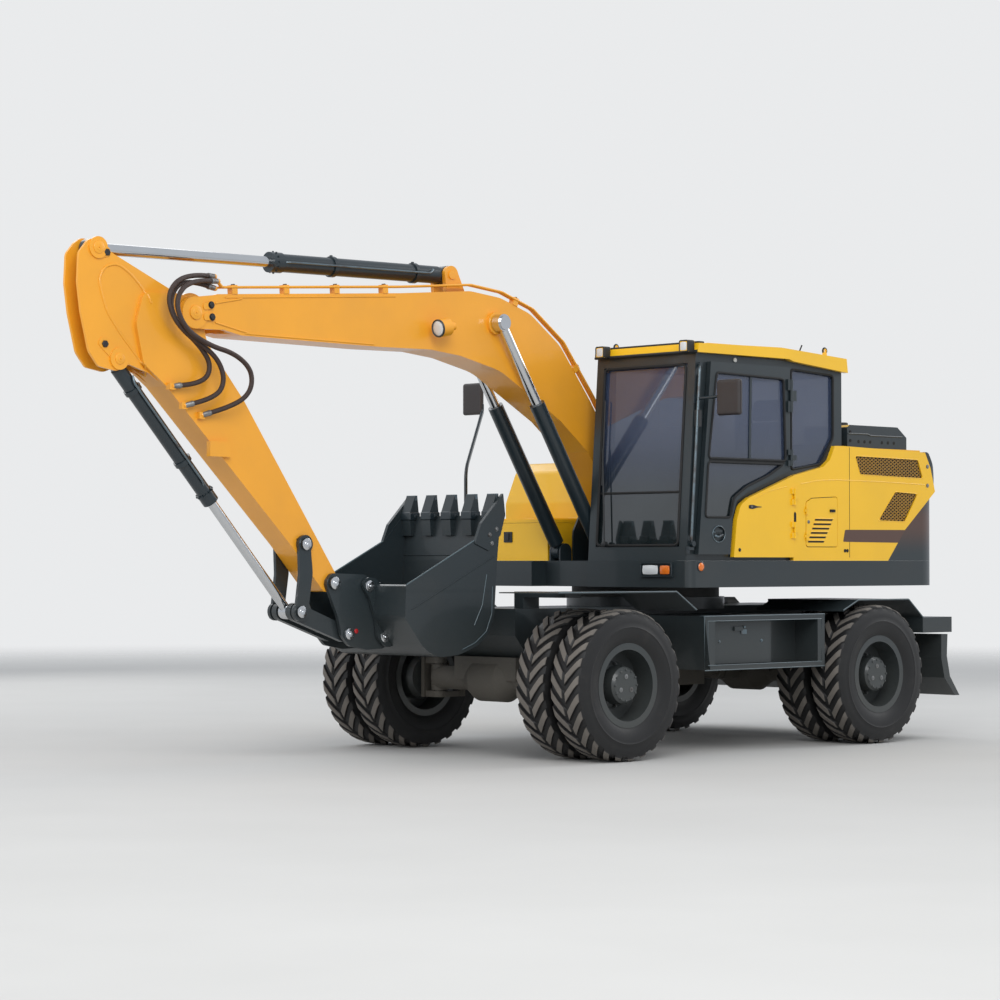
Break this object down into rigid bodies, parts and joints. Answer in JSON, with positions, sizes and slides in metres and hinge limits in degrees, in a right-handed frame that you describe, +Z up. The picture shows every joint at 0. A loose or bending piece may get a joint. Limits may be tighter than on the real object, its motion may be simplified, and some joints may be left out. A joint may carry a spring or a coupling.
{
  "type": "wheeled excavator",
  "caption": "Wheeled excavator with a glazed cab, bent boom, arm and toothed bucket, twin road tyres, rear dozer blade and working covers, doors and cylinders",
  "frame": {"origin": "On the ground, under the middle of the machine's overall length and width as it parks", "axes": "+X points forward towards the bucket, +Y to the cab side, +Z up"},
  "size_m": [7.4516, 3.32, 3.4758],
  "materials": {
    "amber_paint": "Amber yellow gloss paint",
    "yellow_paint": "Yellow gloss paint",
    "charcoal_paint": "Charcoal satin paint",
    "axle_paint": "Dusty black paint",
    "rim_paint": "Dark grey paint",
    "black_paint": "Black paint",
    "chrome": "Hard chrome plate",
    "tyre": "Black tyre rubber",
    "glass": "Tinted safety glass",
    "seat_fabric": "Dark woven cloth",
    "black_plastic": "Moulded black plastic",
    "engine_iron": "Cast iron",
    "hose_rubber": "Black hose rubber"
  },
  "bodies": {
    "chassis": {"chassis": "charcoal_paint", "front_axle": "axle_paint", "rear_axle": "axle_paint", "drive_line": "axle_paint", "mudguards": "charcoal_paint", "side_boxes": "charcoal_paint"},
    "knuckle_left": {"knuckle_left": "axle_paint"},
    "knuckle_right": {"knuckle_right": "axle_paint"},
    "steering_rod": {"steering_rod": "chrome"},
    "wheels_front_left": {"tyres_front_left": "tyre", "rims_front_left": "rim_paint"},
    "wheels_front_right": {"tyres_front_right": "tyre", "rims_front_right": "rim_paint"},
    "wheels_rear_left": {"tyres_rear_left": "tyre", "rims_rear_left": "rim_paint"},
    "wheels_rear_right": {"tyres_rear_right": "tyre", "rims_rear_right": "rim_paint"},
    "box_lid_left": {"box_lid_left": "charcoal_paint"},
    "box_lid_right": {"box_lid_right": "charcoal_paint"},
    "blade_arms": {"blade_arms": "charcoal_paint"},
    "dozer_blade": {"dozer_blade": "charcoal_paint"},
    "blade_barrels": {"blade_barrels": "black_paint"},
    "blade_rods": {"blade_rods": "chrome"},
    "upper": {"revolving_frame": "charcoal_paint", "slew_ring": "axle_paint", "counterweight": "charcoal_paint", "engine": "engine_iron", "engine_covers": "yellow_paint", "bulkheads": "charcoal_paint", "tank": "yellow_paint", "toolbox": "yellow_paint", "cab_shell": "charcoal_paint", "cab_glazing": "glass", "cab_roof": "yellow_paint", "seat": "seat_fabric", "steering_column": "black_plastic", "mirrors": "black_plastic"},
    "side_door_left": {"side_door_left": "yellow_paint"},
    "hatch_left": {"hatch_left": "yellow_paint"},
    "hood": {"hood": "yellow_paint"},
    "toolbox_lid": {"toolbox_lid": "yellow_paint"},
    "cab_door": {"cab_door": "charcoal_paint", "door_glass": "glass"},
    "boom": {"boom": "amber_paint", "boom_fittings": "amber_paint", "hose_inner": "hose_rubber", "hose_middle": "hose_rubber", "hose_outer": "hose_rubber"},
    "boom_barrels": {"boom_barrels": "black_paint"},
    "boom_rods": {"boom_rods": "chrome"},
    "arm": {"arm": "amber_paint"},
    "arm_barrel": {"arm_barrel": "black_paint"},
    "arm_rod": {"arm_rod": "chrome"},
    "bucket_barrel": {"bucket_barrel": "black_paint"},
    "bucket_rod": {"bucket_rod": "chrome"},
    "guide_levers": {"guide_levers": "charcoal_paint"},
    "bucket_link": {"bucket_link": "charcoal_paint"},
    "bucket": {"coupler": "charcoal_paint", "bucket": "charcoal_paint"}
  },
  "joints": [
    {"name": "steer_left", "type": "hinge", "parent": "chassis", "child": "knuckle_left", "pos_m": [0.04917, 0.6, 0.524], "axis": [0, 0, 1], "range_deg": [-30, 30]},
    {"name": "roll_front_left", "type": "hinge", "parent": "knuckle_left", "child": "wheels_front_left", "pos_m": [0.04917, 1.033, 0.524], "axis": [0, 1, 0], "continuous": true},
    {"name": "steer_right", "type": "hinge", "parent": "chassis", "child": "knuckle_right", "pos_m": [0.04917, -0.6, 0.524], "axis": [0, 0, 1], "range_deg": [-31, 31]},
    {"name": "roll_front_right", "type": "hinge", "parent": "knuckle_right", "child": "wheels_front_right", "pos_m": [0.04917, -1.033, 0.524], "axis": [0, 1, 0], "continuous": true},
    {"name": "roll_rear_left", "type": "hinge", "parent": "chassis", "child": "wheels_rear_left", "pos_m": [-2.70083, 1.033, 0.524], "axis": [0, 1, 0], "continuous": true},
    {"name": "roll_rear_right", "type": "hinge", "parent": "chassis", "child": "wheels_rear_right", "pos_m": [-2.70083, -1.033, 0.524], "axis": [0, 1, 0], "continuous": true},
    {"name": "steering_rod_slide", "type": "slide", "parent": "chassis", "child": "steering_rod", "axis": [0, 1, 0], "range_m": [-0.1, 0.1]},
    {"name": "blade_lift", "type": "hinge", "parent": "chassis", "child": "blade_arms", "pos_m": [-3.14583, 0, 0.4], "axis": [0, -1, 0], "range_deg": [-1, 54]},
    {"name": "blade_level", "type": "hinge", "parent": "blade_arms", "child": "dozer_blade", "pos_m": [-3.44892, 0, 0.61222], "axis": [0, -1, 0], "range_deg": [-56, 2]},
    {"name": "blade_barrel_tilt", "type": "hinge", "parent": "chassis", "child": "blade_barrels", "pos_m": [-3.29783, 0, 0.985], "axis": [0, -1, 0], "range_deg": [-4.14, 1.06]},
    {"name": "blade_rod_slide", "type": "slide", "parent": "blade_barrels", "child": "blade_rods", "axis": [-0.0522, 0, -0.9986], "range_m": [-0.0086, 0.1993]},
    {"name": "box_lid_left_hinge", "type": "hinge", "parent": "chassis", "child": "box_lid_left", "pos_m": [-1.23583, 1.1973, 0.641], "axis": [-1, 0, 0], "range_deg": [0, 90]},
    {"name": "box_lid_right_hinge", "type": "hinge", "parent": "chassis", "child": "box_lid_right", "pos_m": [-1.23583, -1.1973, 0.641], "axis": [1, 0, 0], "range_deg": [0, 90]},
    {"name": "slew", "type": "hinge", "parent": "chassis", "child": "upper", "pos_m": [-1.52583, 0, 1.15], "axis": [0, 0, 1], "range_deg": [-4, 5]},
    {"name": "cab_door_hinge", "type": "hinge", "parent": "upper", "child": "cab_door", "pos_m": [-1.72383, 1.285, 2.385], "axis": [0, 0, 1], "range_deg": [0, 165]},
    {"name": "side_door_hinge", "type": "hinge", "parent": "upper", "child": "side_door_left", "pos_m": [-1.75883, 1.29, 1.65], "axis": [0, 0, -1], "range_deg": [-90, 0]},
    {"name": "hatch_hinge", "type": "hinge", "parent": "upper", "child": "hatch_left", "pos_m": [-1.90283, 1.278, 1.66], "axis": [0, 0, 1], "range_deg": [-100, 0]},
    {"name": "hood_hinge", "type": "hinge", "parent": "upper", "child": "hood", "pos_m": [-2.42283, 0, 2.248], "axis": [0, 1, 0], "range_deg": [0, 45]},
    {"name": "toolbox_lid_hinge", "type": "hinge", "parent": "upper", "child": "toolbox_lid", "pos_m": [-1.26183, -0.755, 1.706], "axis": [0, -1, 0], "range_deg": [0, 85]},
    {"name": "boom_lift", "type": "hinge", "parent": "upper", "child": "boom", "pos_m": [-1.22583, -0.03, 1.72], "axis": [0, -1, 0], "range_deg": [-16.5, 35]},
    {"name": "boom_barrel_tilt", "type": "hinge", "parent": "upper", "child": "boom_barrels", "pos_m": [-0.85583, -0.03, 1.45], "axis": [0, -1, 0], "range_deg": [-16.57, 34.03]},
    {"name": "boom_rod_slide", "type": "slide", "parent": "boom_barrels", "child": "boom_rods", "axis": [0.5342, 0, 0.8454], "range_m": [-0.135, 0.2751]},
    {"name": "arm_swing", "type": "hinge", "parent": "boom", "child": "arm", "pos_m": [2.85917, -0.03, 2.989], "axis": [0, 1, 0], "range_deg": [-100, 4], "deforming": ["hose_inner", "hose_middle", "hose_outer"]},
    {"name": "arm_barrel_tilt", "type": "hinge", "parent": "boom", "child": "arm_barrel", "pos_m": [0.52917, -0.03, 3.41], "axis": [0, 1, 0], "range_deg": [-12.58, 1.46]},
    {"name": "arm_rod_slide", "type": "slide", "parent": "arm_barrel", "child": "arm_rod", "axis": [0.9999, 0, -0.0158], "range_m": [-1.159, 0.056]},
    {"name": "bucket_curl", "type": "hinge", "parent": "arm", "child": "bucket", "pos_m": [1.67217, -0.03, 1.229], "axis": [0, 1, 0], "range_deg": [-120, 8]},
    {"name": "guide_lever_swing", "type": "hinge", "parent": "arm", "child": "guide_levers", "pos_m": [1.91617, -0.03, 1.491], "axis": [0, 1, 0], "range_deg": [-95.82, 7.32]},
    {"name": "link_swing", "type": "hinge", "parent": "guide_levers", "child": "bucket_link", "pos_m": [1.95817, -0.03, 1.037], "axis": [0, 1, 0], "range_deg": [-5.49, 68.41]},
    {"name": "bucket_barrel_tilt", "type": "hinge", "parent": "arm", "child": "bucket_barrel", "pos_m": [3.40917, -0.03, 2.664], "axis": [0, 1, 0], "range_deg": [-3.55, 1.17]},
    {"name": "bucket_rod_slide", "type": "slide", "parent": "bucket_barrel", "child": "bucket_rod", "axis": [-0.6656, 0, -0.7463], "range_m": [-0.6927, 0.0555]}
  ],
  "couplings": [
    {"joint": "steer_right", "follows": "steer_left", "ratio": 1},
    {"joint": "steering_rod_slide", "follows": "steer_left", "m_per_rad": -0.17},
    {"joint": "blade_level", "follows": "blade_lift", "ratio": -1},
    {"joint": "blade_barrel_tilt", "follows": "blade_lift", "ratio": -0.0581},
    {"joint": "blade_rod_slide", "follows": "blade_lift", "m_per_rad": 0.20617},
    {"joint": "boom_barrel_tilt", "follows": "boom_lift", "ratio": 0.94377},
    {"joint": "boom_rod_slide", "follows": "boom_lift", "m_per_rad": 0.43395},
    {"joint": "arm_barrel_tilt", "follows": "arm_swing", "ratio": 0.11579},
    {"joint": "arm_rod_slide", "follows": "arm_swing", "m_per_rad": 0.6583},
    {"joint": "guide_lever_swing", "follows": "bucket_curl", "ratio": 0.79013},
    {"joint": "link_swing", "follows": "bucket_curl", "ratio": -0.56174},
    {"joint": "bucket_barrel_tilt", "follows": "bucket_curl", "ratio": 0.02121},
    {"joint": "bucket_rod_slide", "follows": "bucket_curl", "m_per_rad": 0.32598}
  ]
}
